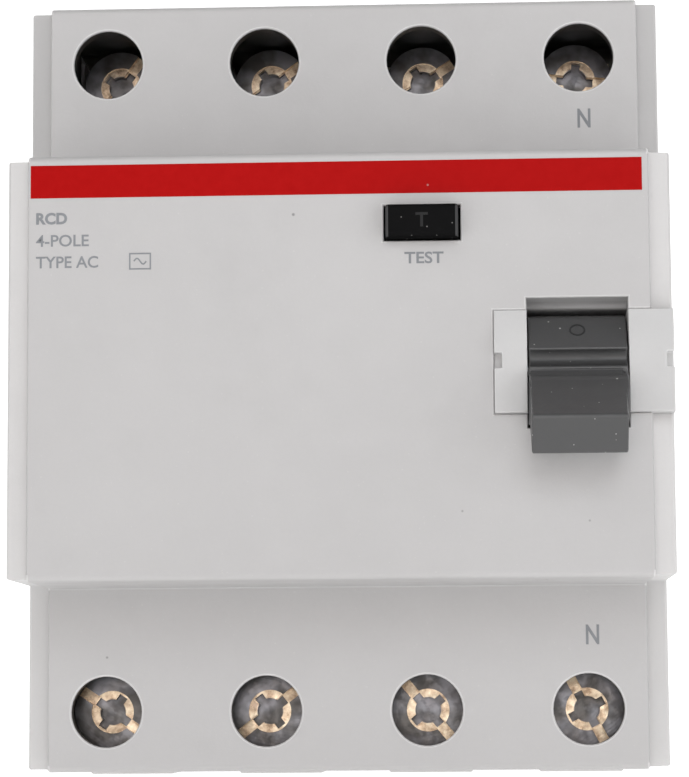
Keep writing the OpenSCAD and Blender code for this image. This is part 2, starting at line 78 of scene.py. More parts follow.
# Faces and centres taken from the frame, in metres
cover_lo, cover_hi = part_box("front_cover")
base_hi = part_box("base_housing")[1]
toggle_lo, toggle_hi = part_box("toggle")
button_lo, button_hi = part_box("test_button")
JOINTS = {j["name"]: j for j in frame["joints"]}
TOGGLE_AXLE = Vector(JOINTS["toggle_hinge"]["pos_m"])
NOSE_Y = cover_lo.y

# Lengths of the design that no box of the frame gives, in metres
SHOULDER_STEP = 16 * MM
NOSE_HALF = 22.5 * MM
POLE_PITCH = 17.5 * MM
SCREW_RADIUS = 4.2 * MM
CLIP_TRAVEL = 4.5 * MM

SHOULDER_Y = NOSE_Y + SHOULDER_STEP
SCREW_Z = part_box("line_screw_1")[0].z + SCREW_RADIUS


# ---------------------------------------------------------------- node materials

class Shader:
    """A node material under construction; add() makes a node and links or sets its inputs by name."""

    def __init__(self, name):
        self.material = bpy.data.materials.new(name)
        self.material.use_nodes = True
        self.tree = self.material.node_tree
        self.surface = self.tree.nodes["Principled BSDF"]
        self.coords = self.add("TexCoord").outputs["Object"]

    def add(self, kind, settings=None, **inputs):
        node = self.tree.nodes.new("ShaderNode" + kind)
        for key, value in (settings or {}).items():
            setattr(node, key, value)
        for key, value in inputs.items():
            index = int(key[1:]) if key[0] == "i" and key[1:].isdigit() else key.replace("_", " ")
            self.feed(node.inputs[index], value)
        return node

    def feed(self, socket, value):
        if isinstance(value, bpy.types.NodeSocket):
            self.tree.links.new(value, socket)
        else:
            socket.default_value = value

    def noise(self, scale, detail=2.0, roughness=0.5, at=None):
        node = self.add("TexNoise", Vector=at or self.coords, Scale=scale, Detail=detail, Roughness=roughness)
        return node.outputs["Fac"]

    def span(self, value, low, high, to_low, to_high):
        node = self.add("MapRange", i0=value, i1=low, i2=high, i3=to_low, i4=to_high)
        return node.outputs[0]

    def math(self, operation, a, b=0.0):
        return self.add("Math", {"operation": operation}, i0=a, i1=b).outputs[0]

    def times(self, a, b):
        return self.math("MULTIPLY", a, b)

    def distance(self, a, b):
        """Length of the vector whose two parts are given."""
        squares = [self.math("POWER", self.math("ABSOLUTE", part), 2.0) for part in (a, b)]
        return self.math("SQRT", self.math("ADD", *squares))

    def blend(self, factor, a, b):
        node = self.add("Mix", {"data_type": "RGBA"}, i0=factor, i6=a, i7=b)
        return node.outputs[2]

    def attribute(self, name):
        return self.add("Attribute", {"attribute_name": name}).outputs["Fac"]

    def specks(self, scale, radius, share):
        """Sparse round specks: one in a few Voronoi cells."""
        cells = self.add("TexVoronoi", Vector=self.coords, Scale=scale)
        near = self.span(cells.outputs["Distance"], radius, radius * 0.6, 0.0, 1.0)
        pick = self.add("SeparateColor", Color=cells.outputs["Color"]).outputs[0]
        return self.times(near, self.math("GREATER_THAN", pick, 1.0 - share))

    def bump(self, height, distance, strength=1.0, normal=None):
        inputs = {"Height": height, "Distance": distance, "Strength": strength}
        if normal:
            inputs["Normal"] = normal
        return self.add("Bump", **inputs).outputs["Normal"]

    def finish(self, **inputs):
        for key, value in inputs.items():
            self.feed(self.surface.inputs[key.replace("_", " ")], value)
        return self.material


def rgb(red, green, blue):
    return (red, green, blue, 1.0)


def shade(colour, factor, lift=0.0):
    """A colour scaled by a factor, held within 0 to 1."""
    return rgb(*(min(part * factor + lift, 1.0) for part in colour))


# Half sizes and depths of the space inside the housing that is painted in shade
INNER_HALF_WIDTH = 31.3 * MM
INNER_HALF_HEIGHT = 40.55 * MM
INNER_NOSE_HALF = 20.6 * MM
INNER_NOSE_Y = NOSE_Y + 1.9 * MM
INNER_SHOULDER_Y = SHOULDER_Y + 0.45 * MM
INNER_BACK_Y = -2.0 * MM

# The toggle's opening, whose walls are left out of the painted shade
OPENING_X = 16 * MM
OPENING_HALF_HEIGHT = 9 * MM
OPENING_BACK_Y = -50.9 * MM

# The groove between the toggle's facet and its lever, painted in shade, as seen from its axle
GROOVE_OUT = 5.95 * MM
GROOVE_UP = 0.75 * MM
GROOVE_FULL_RADIUS = 0.94 * MM
GROOVE_END_RADIUS = 1.12 * MM


def inside_shade_mask(s):
    """1 on the closed inner side of the housing, where shade is painted, 0 outside and in the toggle's opening."""
    x, y, z = s.add("SeparateXYZ", Vector=s.coords).outputs
    wide = s.math("ABSOLUTE", x)
    high = s.math("ABSOLUTE", z)
    in_nose = s.times(s.math("LESS_THAN", high, INNER_NOSE_HALF), s.math("GREATER_THAN", y, INNER_NOSE_Y))
    deep = s.math("GREATER_THAN", y, INNER_SHOULDER_Y)
    in_width = s.math("LESS_THAN", wide, INNER_HALF_WIDTH)
    within = s.times(in_width, s.math("LESS_THAN", high, INNER_HALF_HEIGHT))
    within = s.times(within, s.math("LESS_THAN", y, INNER_BACK_Y))
    by_toggle = s.times(s.math("GREATER_THAN", x, OPENING_X), s.math("LESS_THAN", high, OPENING_HALF_HEIGHT))
    by_toggle = s.times(by_toggle, s.math("LESS_THAN", y, OPENING_BACK_Y))
    closed = s.math("SUBTRACT", 1.0, by_toggle)
    return s.times(s.times(within, s.math("MAXIMUM", in_nose, deep)), closed)


def toggle_groove_shade(s):
    """1 in the toggle's groove, where shade is painted."""
    y, z = s.add("SeparateXYZ", Vector=s.coords).outputs[1:]
    out = s.math("SUBTRACT", y, TOGGLE_AXLE.y - GROOVE_OUT)
    up = s.math("SUBTRACT", z, TOGGLE_AXLE.z + GROOVE_UP)
    return s.span(s.distance(out, up), GROOVE_FULL_RADIUS, GROOVE_END_RADIUS, 1.0, 0.0)


DUST_COLOUR = rgb(0.72, 0.71, 0.69)


def plastic(name, colour, rough=(0.4, 0.55), grain=1.0, dust=0.0, dirt=0.0, edge=1.08, sheen=0.5,
            inside=None, painted_shade=None):
    """Moulded plastic: fine spark-eroded grain, slow tone drift, dust specks and polished edges with a painted
    highlight.

    edge is the brightness of the painted highlight on the rounded edges, inside the colour of the painted shade on
    the housing's closed side and painted_shade a mask of where shade is painted.
    """
    s = Shader(name)
    drift = s.noise(55.0, 3.0)
    fine = s.noise(2600.0, 2.0, 0.6)
    base = s.blend(drift, shade(colour, 0.965), shade(colour, 1.03))
    base = s.blend(s.span(fine, 0.35, 0.75, 0.0, 0.12), base, shade(colour, 0.88))
    if dirt:
        smear = s.span(s.noise(140.0, 4.0, 0.6), 0.56, 0.78, 0.0, dirt)
        base = s.blend(smear, base, shade(colour, 0.72))
        marks = s.specks(230.0, 0.05, 0.10)
        base = s.blend(s.times(marks, 0.75), base, shade(colour, 0.35))
    if dust:
        flecks = s.math("MAXIMUM", s.specks(900.0, 0.11, 0.16), s.specks(1900.0, 0.16, 0.12))
        base = s.blend(s.times(flecks, dust), base, DUST_COLOUR)
    # painted highlight: the rounded edges are painted brighter by the factor edge; their lower roughness is real
    # polish
    rim = s.math("MINIMUM", s.attribute("edge"), 1.0)
    base = s.blend(rim, base, shade(colour, edge, 0.01))
    # painted shade: the toggle's groove is painted darker
    if painted_shade:
        base = s.blend(s.times(painted_shade(s), 0.8), base, shade(colour, 0.15))
    # painted shade: the housing's closed inner side is painted near black
    if inside:
        base = s.blend(inside_shade_mask(s), base, rgb(*inside))
    roughness = s.span(s.noise(320.0, 3.0), 0.3, 0.7, rough[0], rough[1])
    roughness = s.math("SUBTRACT", roughness, s.times(rim, 0.1))
    normal = s.bump(s.noise(9.0, 1.0), 0.0006, 0.35)
    normal = s.bump(fine, 0.000012 * grain, 1.0, normal)
    return s.finish(Base_Color=base, Roughness=roughness, Specular_IOR_Level=sheen, Normal=normal)


def metal(name, colour, tarnish, rough=(0.22, 0.42), brushed=(1.0, 1.0, 1.0), wear=0.5):
    """Plated or rolled metal: fine drawn lines, blotchy tarnish."""
    s = Shader(name)
    stretched = s.add("Mapping", Vector=s.coords, Scale=brushed).outputs[0]
    lines = s.noise(1800.0, 3.0, 0.6, stretched)
    blotch = s.span(s.noise(420.0, 4.0, 0.65), 0.38, 0.68, 0.0, wear)
    base = s.blend(blotch, rgb(*colour), rgb(*tarnish))
    base = s.blend(s.span(lines, 0.4, 0.7, 0.0, 0.25), base, shade(colour, 0.6))
    roughness = s.math("ADD", s.span(lines, 0.3, 0.7, rough[0], rough[1]), s.times(blotch, 0.12))
    normal = s.bump(lines, 0.00001, 0.6)
    return s.finish(Base_Color=base, Metallic=1.0, Roughness=roughness, Normal=normal)


# The plated part of a screw head, between the painted shade on its face and deep in its recess: depths below the
# head's face, and the radius of the middle that is painted in shade
FACE_SHADE_DEPTH = (0.12 * MM, 0.22 * MM)
RECESS_SHADE_DEPTH = (1.1 * MM, 1.3 * MM)
SHADED_MIDDLE = (1.38 * MM, 1.5 * MM)


def screw_metal(name, head_y):
    """Yellow-plated steel turned in rings, with painted shade on the head's face, deep in its recess and in its
    middle; the slot and recess floors show the plating.
    """
    s = Shader(name)
    x, y, z = s.add("SeparateXYZ", Vector=s.coords).outputs
    shifted = s.math("ADD", x, 4 * POLE_PITCH)
    across = s.math("SUBTRACT", s.math("MODULO", shifted, POLE_PITCH), POLE_PITCH / 2)
    along = s.math("SUBTRACT", s.math("ABSOLUTE", z), SCREW_Z)
    radius = s.distance(across, along)
    depth = s.math("SUBTRACT", y, head_y)
    # painted shade: outside the plated band the head is painted dark steel
    below = s.span(depth, *FACE_SHADE_DEPTH, 0.0, 1.0)
    above_recess_shade = s.span(depth, *RECESS_SHADE_DEPTH, 1.0, 0.0)
    outside = s.span(radius, *SHADED_MIDDLE, 0.0, 1.0)
    mask = s.times(s.times(below, above_recess_shade), outside)
    patch = s.noise(900.0, 4.0, 0.7)
    mask = s.times(mask, s.span(patch, 0.3, 0.45, 0.55, 1.0))
    tarnish = s.span(s.noise(330.0, 3.0), 0.4, 0.6, 0.0, 1.0)
    steel = s.blend(tarnish, rgb(0.12, 0.115, 0.11), rgb(0.25, 0.25, 0.265))
    gold = s.blend(s.span(patch, 0.35, 0.65, 0.0, 1.0), rgb(0.55, 0.38, 0.24), rgb(0.95, 0.82, 0.62))
    base = s.blend(mask, steel, gold)
    rings = s.add("TexWave", {"wave_type": "RINGS", "rings_direction": "Y"},
                  Vector=s.coords, Scale=900.0, Distortion=2.0, Detail=2.0).outputs["Fac"]
    roughness = s.span(s.noise(1200.0, 3.0), 0.3, 0.7, 0.3, 0.5)
    normal = s.bump(s.noise(1500.0, 3.0, 0.6), 0.00002, 0.7)
    normal = s.bump(rings, 0.000004, 0.4, normal)
    turned = s.add("Tangent", {"direction_type": "RADIAL", "axis": "Y"}).outputs[0]
    return s.finish(Base_Color=base, Metallic=0.85, Roughness=roughness, Normal=normal, Anisotropic=0.75,
                    Tangent=turned)


def printed(name, colour, rough, fleck):
    """Pad-printed ink: slightly uneven film with pinholes that show the plastic."""
    s = Shader(name)
    film = s.noise(900.0, 3.0, 0.6)
    base = s.blend(s.span(film, 0.35, 0.7, 0.0, 0.35), rgb(*colour), shade(colour, 1.2, 0.004))
    pinholes = s.specks(520.0, 0.07, 0.12)
    base = s.blend(s.times(pinholes, fleck), base, rgb(0.62, 0.6, 0.58))
    drift = s.span(s.noise(30.0, 1.0), 0.3, 0.7, 0.0, 0.3)
    base = s.blend(drift, base, shade(colour, 0.85))
    normal = s.bump(film, 0.000006, 0.5)
    return s.finish(Base_Color=base, Roughness=rough, Specular_IOR_Level=0.05, Normal=normal)


WINDING_TURNS = 150.0


def coil_wire(name):
    """Enamelled copper wire wound radially round a core."""
    s = Shader(name)
    lo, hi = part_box("toroid_core")
    centre = (lo + hi) / 2
    moved = s.add("VectorMath", {"operation": "SUBTRACT"}, i0=s.coords, i1=tuple(centre)).outputs[0]
    x, y = s.add("SeparateXYZ", Vector=moved).outputs[:2]
    angle = s.math("ARCTAN2", y, x)
    turns = s.math("SINE", s.times(angle, WINDING_TURNS))
    base = s.blend(s.span(turns, -1.0, 0.2, 0.0, 1.0), rgb(0.12, 0.03, 0.01), rgb(0.55, 0.2, 0.08))
    roughness = s.span(s.noise(500.0), 0.3, 0.7, 0.25, 0.4)
    normal = s.bump(turns, 0.0001, 1.0)
    return s.finish(Base_Color=base, Metallic=0.6, Roughness=roughness, Normal=normal)


# painted shade for the housing's closed inner side
INSIDE_SHADE = (0.03, 0.03, 0.031)
# edge on each plastic sets the painted highlight on its rounded edges
HOUSING = plastic("housing_plastic", (0.545, 0.536, 0.533), rough=(0.42, 0.56), dirt=0.1, dust=0.2, edge=1.22,
                  inside=INSIDE_SHADE)
# painted light: the base is a lighter copy of the housing plastic, so that its set-back side strips come out as
# bright as the cover
BASE_LIGHTENED = plastic("base_plastic_lightened", (0.68, 0.67, 0.664), rough=(0.42, 0.56), dirt=0.1, dust=0.15, edge=1.2,
               inside=INSIDE_SHADE)
FRAME = plastic("frame_plastic", (0.61, 0.606, 0.602), rough=(0.36, 0.5), dirt=0.06, edge=1.12)
TOGGLE = plastic("toggle_plastic", (0.074, 0.074, 0.075), rough=(0.34, 0.5), dust=0.6, edge=1.12, grain=1.6,
                 painted_shade=toggle_groove_shade)
BUTTON = plastic("button_plastic", (0.009, 0.009, 0.0092), rough=(0.3, 0.45), dust=0.3, edge=7.0, grain=1.5,
                 sheen=0.0)
TOGGLE_MARK = plastic("toggle_mark", (0.03, 0.03, 0.031), rough=(0.4, 0.55))
# painted light: the moulded T is a lighter, glossier copy of the button plastic so that it shows
BUTTON_MARK = plastic("button_mark", (0.024, 0.024, 0.0245), rough=(0.35, 0.5), sheen=0.1)
CLIP = plastic("clip_plastic", (0.04, 0.04, 0.041), rough=(0.4, 0.6), dust=0.15, edge=1.8, grain=2.5)
CARRIER = plastic("carrier_plastic", (0.05, 0.05, 0.055), rough=(0.45, 0.6), edge=1.4)
RELAY = plastic("relay_case", (0.6, 0.56, 0.44), rough=(0.35, 0.5), edge=1.1)
BOARD = plastic("board_laminate", (0.03, 0.17, 0.06), rough=(0.25, 0.4), edge=1.3)
RESISTOR = plastic("resistor_ceramic", (0.55, 0.42, 0.28), rough=(0.3, 0.45), edge=1.1)
CORE = plastic("core_coating", (0.05, 0.14, 0.09), rough=(0.3, 0.5), edge=1.2)
LEAD = plastic("lead_insulation", (0.05, 0.05, 0.055), rough=(0.4, 0.55), edge=1.0)
LEAD_N = plastic("lead_insulation_n", (0.03, 0.08, 0.3), rough=(0.4, 0.55), edge=1.0)
ZINC = metal("zinc_steel", (0.62, 0.63, 0.65), (0.42, 0.42, 0.43), brushed=(1.0, 0.15, 1.0))
LINK_STEEL = metal("link_steel", (0.15, 0.15, 0.155), (0.08, 0.08, 0.08))
SPRING = metal("spring_steel", (0.5, 0.5, 0.5), (0.3, 0.29, 0.28))
CAGE = metal("cage_steel", (0.66, 0.63, 0.55), (0.45, 0.4, 0.3), brushed=(0.2, 1.0, 1.0))
COPPER = metal("contact_copper", (0.75, 0.42, 0.27), (0.45, 0.22, 0.13), brushed=(1.0, 1.0, 0.15))
BRASS = metal("contact_brass", (0.78, 0.6, 0.3), (0.5, 0.36, 0.16), brushed=(1.0, 1.0, 0.15))
LINE_SCREW = screw_metal("terminal_steel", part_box("line_screw_1")[0].y)
LOAD_SCREW = screw_metal("terminal_steel_load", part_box("load_screw_1")[0].y)
WINDING = coil_wire("enamelled_wire")
RED = printed("stripe_red", (0.42, 0.002, 0.002), rough=0.42, fleck=0.5)
GREY_INK = printed("grey_ink", (0.27, 0.28, 0.295), rough=0.55, fleck=0.2)

BY_SLOT = {
    "housing_plastic": HOUSING, "toggle_plastic": TOGGLE, "button_plastic": BUTTON, "clip_plastic": CLIP,
    "carrier_plastic": CARRIER, "zinc_steel": ZINC, "spring_steel": SPRING, "terminal_steel": LINE_SCREW,
    "cage_steel": CAGE, "contact_copper": COPPER, "contact_brass": BRASS, "lead_insulation": LEAD,
    "core_coating": CORE, "enamelled_wire": WINDING, "board_laminate": BOARD, "relay_case": RELAY,
    "resistor_ceramic": RESISTOR,
}
SLOT_OF = {part["node"]: part["material_slot"] for part in frame["record"]["subparts"]}


def dress(piece, material):
    piece.data.materials.clear()
    piece.data.materials.append(material)


def dress_cad_nodes():
    for name, piece in nodes.items():
        dress(piece, BY_SLOT[SLOT_OF[name]])
    dress(nodes["base_housing"], BASE_LIGHTENED)
    dress(nodes["mechanism_frame"], FRAME)
    dress(nodes["flexible_lead_4"], LEAD_N)
    dress(nodes["drive_link"], LINK_STEEL)
    dress(nodes["toggle_link_pin"], LINK_STEEL)
    for i in range(1, 5):
        dress(nodes["load_screw_%d" % i], LOAD_SCREW)


# ---------------------------------------------------------------- refined copies of CAD nodes

def to_mesh(bm, name):
    mesh = bpy.data.meshes.new(name)
    bm.to_mesh(mesh)
    bm.free()
    return mesh


def link(name, mesh, body, material):
    piece = bpy.data.objects.new(name, mesh)
    bpy.context.scene.collection.objects.link(piece)
    dress(piece, material)
    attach(piece, body)
    return piece


MERGE_DISTANCE = 2e-6
FLAT_ANGLE = math.radians(1.5)
SHARP_ANGLE = math.radians(35)
SMOOTH_ANGLE = math.radians(38)
NARROW_SHARE = 0.25
BEVEL_SEGMENTS = 3


def refine(node, pick, width, body, material):
    """Replaces a node by a copy with its picked edges rounded; their narrow faces carry the edge attribute, where
    the plastics paint a highlight.
    """
    bm = bmesh.new()
    bm.from_mesh(nodes[node].data)
    bmesh.ops.remove_doubles(bm, verts=bm.verts, dist=MERGE_DISTANCE)
    bmesh.ops.dissolve_limit(bm, angle_limit=FLAT_ANGLE, verts=bm.verts, edges=bm.edges)
    sharp = [e for e in bm.edges if len(e.link_faces) == 2 and e.calc_face_angle() > SHARP_ANGLE and pick(e)]
    made = bmesh.ops.bevel(bm, geom=sharp, offset=width, offset_type="OFFSET", segments=BEVEL_SEGMENTS,
                           profile=0.5, affect="EDGES", clamp_overlap=False, miter_outer="ARC")
    edge = bm.loops.layers.float_color.new("edge")
    rounded = {f for f in made["faces"] if f.calc_area() < NARROW_SHARE * width * f.calc_perimeter()}
    for face in bm.faces:
        level = 1.0 if face in rounded else 0.0
        for loop in face.loops:
            loop[edge] = (level, level, level, 1.0)
    bmesh.ops.triangulate(bm, faces=[f for f in bm.faces if len(f.verts) > 4])
    mesh = to_mesh(bm, node + "_fine")
    mesh.shade_smooth()
    mesh.set_sharp_from_angle(angle=SMOOTH_ANGLE)
    piece = link(node + "_fine", mesh, body, material)
    weighted = piece.modifiers.new("flat_faces", "WEIGHTED_NORMAL")
    weighted.keep_sharp = True
    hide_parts(node)


# How far the cover's rounded edges keep from its rear edge and from the nose, and how far behind the nose's
# face the edges of the frame and the toggle are rounded
JOINT_LINE = 0.1 * MM
STEP_MARGIN = 1 * MM
FRAME_REACH = 0.75 * MM
TOGGLE_REACH = 8 * MM


def near(a, b, gap=0.05 * MM):
    return abs(a - b) < gap


def both(edge, test):
    return all(test(v.co) for v in edge.verts)


def cover_edge(edge):
    """The cover's side walls, its face edges and the rims of its holes."""
    side = both(edge, lambda p: near(abs(p.x), cover_hi.x) and p.y < cover_hi.y - JOINT_LINE)
    nose = both(edge, lambda p: near(p.y, NOSE_Y))
    shoulder = both(edge, lambda p: near(p.y, SHOULDER_Y) and abs(p.z) > NOSE_HALF + STEP_MARGIN)
    return side or nose or shoulder


def base_edge(edge):
    """Edges on the outside of the base: side walls and the rims of the cable collars."""
    side = both(edge, lambda p: near(abs(p.x), base_hi.x))
    collar = both(edge, lambda p: near(abs(p.z), base_hi.z))
    return side or collar


def frame_edge(edge):
    return both(edge, lambda p: p.y < NOSE_Y + FRAME_REACH)


def toggle_edge(edge):
    return both(edge, lambda p: p.y < NOSE_Y + TOGGLE_REACH)


def button_edge(edge):
    return both(edge, lambda p: p.y < NOSE_Y)


def any_edge(edge):
    return True


def refine_nodes():
    refine("front_cover", cover_edge, 0.22 * MM, "root", HOUSING)
    refine("base_housing", base_edge, 0.25 * MM, "root", BASE_LIGHTENED)
    refine("mechanism_frame", frame_edge, 0.12 * MM, "root", FRAME)
    refine("toggle", toggle_edge, 0.18 * MM, "toggle", TOGGLE)
    refine("test_button", button_edge, 0.3 * MM, "test_button", BUTTON)
    for side in ("left", "right"):
        refine("din_clip_" + side, any_edge, 0.2 * MM, "din_clip_" + side, CLIP)


# ---------------------------------------------------------------- printing and moulded marks

# Thickness of the print, the pen of its lines and the half height and steps of its wave
PRINT_T = 0.02 * MM
STRIPE_T = 0.03 * MM
PEN = 0.16 * MM
WAVE_HEIGHT = 0.3 * MM
WAVE_INSET = 0.22
WAVE_STEPS = 28

# Extents, centres and sizes of the print, in millimetres from the middle of the device; a rating line
# has its text, centre height, width and boldness
STRIPE = (-32.4, 32.0, 17.95, 21.45)
TEST_LABEL_AT = (9.1, 11.09)
TEST_LABEL_SIZE = (4.1, 1.25)
RATING_LEFT = -31.8
RATING_HEIGHT = 1.27
RATING_LINES = (("RCD", 15.77, 3.3, 0.04), ("4-POLE", 13.4, 5.6, 0.015), ("TYPE AC", 11.1, 6.6, 0.015))
NEUTRAL_X = 26.74
NEUTRAL_SIZE = (1.45, 2.15)
NEUTRAL_Z = (("upper", 29.07), ("lower", -27.97))
WAVE_BOX = (-21.94, -19.61, 10.21, 12.0)


def plate(x0, x1, z0, z1, y, thick=PRINT_T):
    """A thin plate standing out of the plane y towards the viewer."""
    bm = bmesh.new()
    bmesh.ops.create_grid(bm, x_segments=1, y_segments=1, size=0.5)
    bmesh.ops.scale(bm, vec=(x1 - x0, z1 - z0, 1), verts=bm.verts)
    upright = Matrix.Rotation(math.pi / 2, 3, "X")
    bmesh.ops.rotate(bm, cent=(0, 0, 0), matrix=upright, verts=bm.verts)
    bmesh.ops.translate(bm, vec=((x0 + x1) / 2, y, (z0 + z1) / 2), verts=bm.verts)
    made = bmesh.ops.extrude_face_region(bm, geom=bm.faces[:])
    moved = [v for v in made["geom"] if isinstance(v, bmesh.types.BMVert)]
    bmesh.ops.translate(bm, vec=(0, -thick, 0), verts=moved)
    bmesh.ops.recalc_face_normals(bm, faces=bm.faces)
    return to_mesh(bm, "plate")


def lettering(text, centre, width, height, y, bold, thick=PRINT_T):
    """Plain lettering as a thin mesh, sized to the given box on the plane y."""
    curve = bpy.data.curves.new("lettering", "FONT")
    curve.body = text
    curve.extrude = 0.5
    curve.offset = bold
    curve.resolution_u = 4
    holder = bpy.data.objects.new("lettering", curve)
    bpy.context.scene.collection.objects.link(holder)
    shown = holder.evaluated_get(bpy.context.evaluated_depsgraph_get())
    mesh = bpy.data.meshes.new_from_object(shown)
    bpy.data.objects.remove(holder)
    xs = [v.co.x for v in mesh.vertices]
    ys = [v.co.y for v in mesh.vertices]
    middle = Vector(((min(xs) + max(xs)) / 2, (min(ys) + max(ys)) / 2, 0))
    grow = Vector((width / (max(xs) - min(xs)), height / (max(ys) - min(ys)), thick))
    for v in mesh.vertices:
        p = v.co - middle
        v.co = Vector((centre[0] + p.x * grow.x, y - thick / 2 - p.z * grow.z, centre[1] + p.y * grow.y))
    return mesh


def loft(bm, rings):
    """Skins rings of as many corners each into a closed form."""
    count = len(rings[0])
    for one, two in zip(rings, rings[1:]):
        for j in range(count):
            bm.faces.new((one[j], one[(j + 1) % count], two[(j + 1) % count], two[j]))
    bm.faces.new(rings[0][::-1])
    bm.faces.new(rings[-1])
    bmesh.ops.recalc_face_normals(bm, faces=bm.faces)


def ribbon(points, width, y, thick=PRINT_T):
    """A flat line of print along points given as (x, z)."""
    bm = bmesh.new()
    rows = []
    for i, p in enumerate(points):
        a, b = points[max(i - 1, 0)], points[min(i + 1, len(points) - 1)]
        run = Vector((b[0] - a[0], b[1] - a[1])).normalized()
        side = Vector((-run.y, run.x)) * width / 2
        corners = [(p[0] + side.x, y, p[1] + side.y), (p[0] - side.x, y, p[1] - side.y)]
        corners += [(c[0], y - thick, c[2]) for c in reversed(corners)]
        rows.append([bm.verts.new(c) for c in corners])
    loft(bm, rows)
    return to_mesh(bm, "ribbon")


def in_mm(*lengths):
    return [length * MM for length in lengths]


def print_on_root(name, mesh, material=GREY_INK):
    link(name, mesh, "root", material)


def add_printing():
    print_on_root("front_stripe", plate(*in_mm(*STRIPE), NOSE_Y, STRIPE_T), RED)
    label = lettering("TEST", in_mm(*TEST_LABEL_AT), *in_mm(*TEST_LABEL_SIZE), NOSE_Y, 0.02)
    print_on_root("test_label", label)
    for i, (text, z, width, bold) in enumerate(RATING_LINES):
        centre = in_mm(RATING_LEFT + width / 2, z)
        line = lettering(text, centre, width * MM, RATING_HEIGHT * MM, NOSE_Y, bold)
        print_on_root("rating_line_%d" % (i + 1), line)
    for place, z in NEUTRAL_Z:
        letter = lettering("N", in_mm(NEUTRAL_X, z), *in_mm(*NEUTRAL_SIZE), SHOULDER_Y, 0.02)
        print_on_root("neutral_mark_" + place, letter)
    add_wave_symbol()


def add_wave_symbol():
    """Boxed sine wave, the general sign for alternating current."""
    x0, x1, z0, z1 = in_mm(*WAVE_BOX)
    inset = PEN / 2
    frame_lines = (
        [(x0, z0 + inset), (x1, z0 + inset)], [(x0, z1 - inset), (x1, z1 - inset)],
        [(x0 + inset, z0), (x0 + inset, z1)], [(x1 - inset, z0), (x1 - inset, z1)],
    )
    for i, line in enumerate(frame_lines):
        print_on_root("wave_box_%d" % (i + 1), ribbon(line, PEN, NOSE_Y, PRINT_T * (1 + 0.1 * i)))
    wave = []
    for k in range(WAVE_STEPS + 1):
        t = k / WAVE_STEPS
        x = x0 + (x1 - x0) * (WAVE_INSET + (1 - 2 * WAVE_INSET) * t)
        wave.append((x, (z0 + z1) / 2 + WAVE_HEIGHT * math.sin(2 * math.pi * t)))
    print_on_root("wave_line", ribbon(wave, PEN, NOSE_Y))


# Raised marks: how far they stand out, where the toggle's lie round its axle, and the button letter's size
MARK_T = 0.06 * MM
RING_RADIUS = 0.75 * MM
RING_LIFT = 0.6 * MM
RING_STEPS = 48
FACET_TILT = math.radians(39)
FACET_REACH = 5.293 * MM
BAR_HALF = (0.1 * MM, 0.7 * MM)
BAR_TILT = math.radians(-109)
BAR_REACH = 5.73 * MM
LETTER_SIZE = (1.3 * MM, 1.5 * MM)
LETTER_T = 0.05 * MM
LETTER_SINK = 0.035 * MM


def lay_on_drum(mesh, tilt, reach):
    """Turns a mark drawn round the origin of the XZ plane onto the toggle, tilted up from straight ahead."""
    axle = TOGGLE_AXLE.copy()
    axle.x = (toggle_lo.x + toggle_hi.x) / 2
    outward = Matrix.Translation((0, -reach, 0))
    mesh.transform(Matrix.Translation(axle) @ Matrix.Rotation(-tilt, 4, "X") @ outward)
    return mesh


def hoop(radius, lift):
    """A raised ring round (0, lift) in the XZ plane."""
    points = []
    for k in range(RING_STEPS + 1):
        turn = 2 * math.pi * k / RING_STEPS
        points.append((radius * math.cos(turn), lift + radius * math.sin(turn)))
    return ribbon(points, PEN, 0.0, MARK_T)


def add_moulded_marks():
    """The off and on signs moulded on the toggle and the letter on the test button."""
    off_mark = lay_on_drum(hoop(RING_RADIUS, RING_LIFT), FACET_TILT, FACET_REACH)
    link("toggle_off_mark", off_mark, "toggle", TOGGLE_MARK)
    wide, high = BAR_HALF
    on_mark = lay_on_drum(plate(-wide, wide, -high, high, 0.0, MARK_T), BAR_TILT, BAR_REACH)
    link("toggle_on_mark", on_mark, "toggle", TOGGLE_MARK)
    centre = (button_lo + button_hi) / 2
    letter = lettering("T", (centre.x, centre.z), *LETTER_SIZE, button_lo.y + LETTER_SINK, 0.02, LETTER_T)
    link("test_button_mark", letter, "test_button", BUTTON_MARK)


# ---------------------------------------------------------------- springs and leads

# A spring's turns, the steps and sides of its wire, and the share of turns and of length in a closed end
SPRING_TURNS = 6.5
STEPS_PER_TURN = 24
WIRE_SIDES = 8
END_TURNS = 0.12
END_RISE = 0.06


def spring_rise(t):
    """Height of the wire's middle at share t of its turns: flat closed ends, an even pitch between."""
    first = min(t / END_TURNS, 1.0)
    pitch = min(max((t - END_TURNS) / (1 - 2 * END_TURNS), 0.0), 1.0)
    last = max((t - (1 - END_TURNS)) / END_TURNS, 0.0)
    return END_RISE * first + (1 - 2 * END_RISE) * pitch + END_RISE * last


def coil(name, start, axis, radius, length, wire):
    """A round-wire compression spring with closed ends, from start along axis; wire is its half thickness."""
    ahead = Vector(axis).normalized()
    across = ahead.orthogonal().normalized()
    up = ahead.cross(across)
    steps = int(SPRING_TURNS * STEPS_PER_TURN)
    bm = bmesh.new()
    rings = []
    for k in range(steps + 1):
        t = k / steps
        rise = wire + (length - 2 * wire) * spring_rise(t)
        turn = 2 * math.pi * SPRING_TURNS * t
        out = across * math.cos(turn) + up * math.sin(turn)
        centre = Vector(start) + ahead * rise + out * radius
        ring = []
        for j in range(WIRE_SIDES):
            a = 2 * math.pi * j / WIRE_SIDES
            ring.append(bm.verts.new(centre + (out * math.cos(a) + ahead * math.sin(a)) * wire))
        rings.append(ring)
    loft(bm, rings)
    mesh = to_mesh(bm, name)
    mesh.shade_smooth()
    return link(name, mesh, "root", SPRING)


